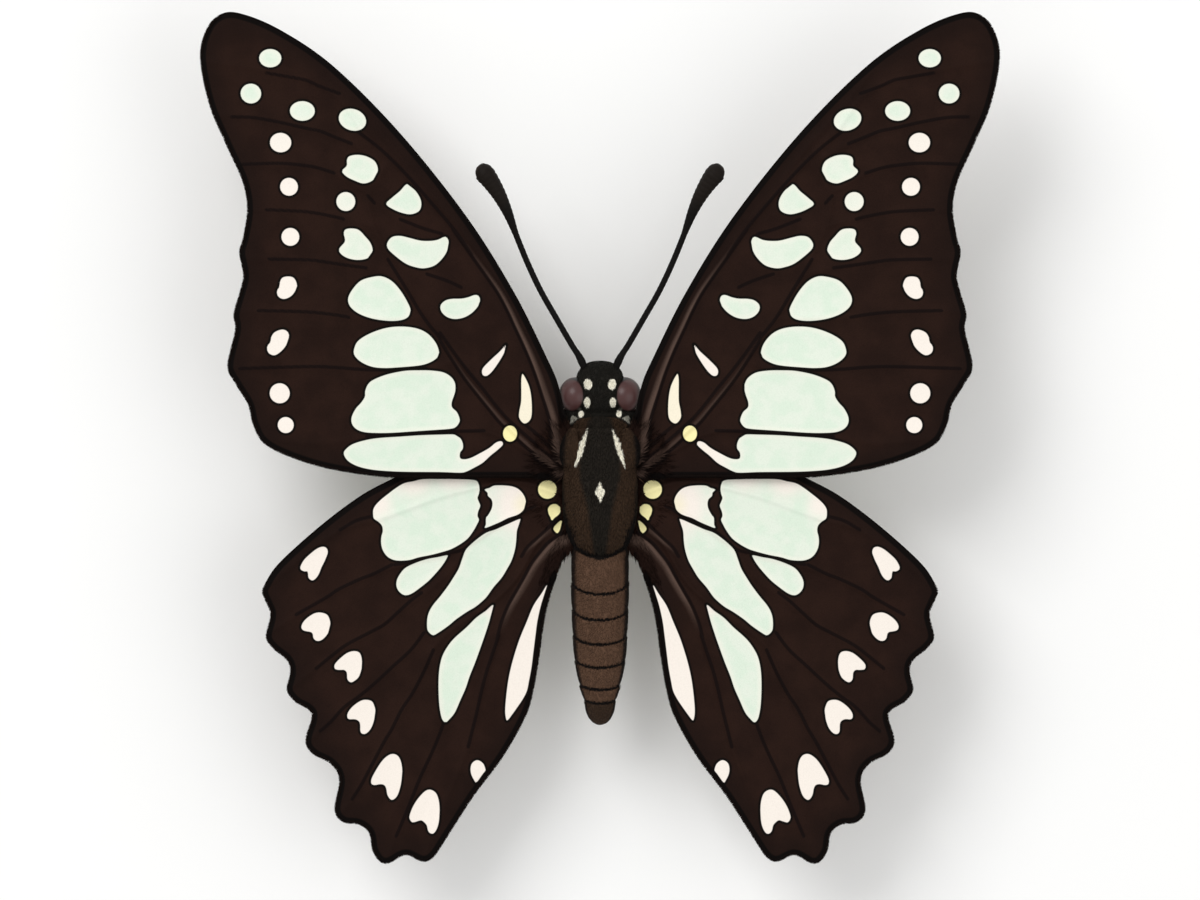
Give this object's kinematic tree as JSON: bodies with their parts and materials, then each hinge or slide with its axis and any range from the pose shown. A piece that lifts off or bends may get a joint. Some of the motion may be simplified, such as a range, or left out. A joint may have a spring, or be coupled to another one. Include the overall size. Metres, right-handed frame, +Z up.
{
  "type": "veined jay butterfly",
  "caption": "Life-size still model of a veined jay butterfly basking on its legs with its wings spread flat, seen from above.",
  "frame": {"origin": "on the floor under the centre of the bounding box, between the feet", "axes": "+Y towards the head, +X towards the animal's right, +Z up"},
  "size_m": [0.06, 0.0637, 0.0129],
  "materials": {
    "wing": "dark brown scales with pale green, cream and yellow patches",
    "thorax_fur": "short dark brown fur with cream streaks",
    "head_fur": "short blackish fur with cream dots",
    "abdomen_scales": "brown scaled rings, darker between them and at the tip",
    "eye": "brown faceted eye with a soft shine",
    "antenna": "blackish ringed feeler and sucking tube",
    "leg": "brown scaled and spined leg"
  },
  "bodies": {
    "root": {"head": "head_fur", "eye_left": "eye", "eye_right": "eye", "antenna_left": "antenna", "antenna_right": "antenna", "palp_left": "head_fur", "palp_right": "head_fur", "proboscis": "antenna", "prothorax": "thorax_fur", "thorax": "thorax_fur", "tegula_left": "thorax_fur", "tegula_right": "thorax_fur", "abdomen": "abdomen_scales", "forewing_left": "wing", "forewing_right": "wing", "hindwing_left": "wing", "hindwing_right": "wing", "front_femur_left": "leg", "front_femur_right": "leg", "front_tibia_left": "leg", "front_tibia_right": "leg", "front_tarsus_left": "leg", "front_tarsus_right": "leg", "middle_femur_left": "leg", "middle_femur_right": "leg", "middle_tibia_left": "leg", "middle_tibia_right": "leg", "middle_tarsus_left": "leg", "middle_tarsus_right": "leg", "hind_femur_left": "leg", "hind_femur_right": "leg", "hind_tibia_left": "leg", "hind_tibia_right": "leg", "hind_tarsus_left": "leg", "hind_tarsus_right": "leg"}
  },
  "joints": []
}
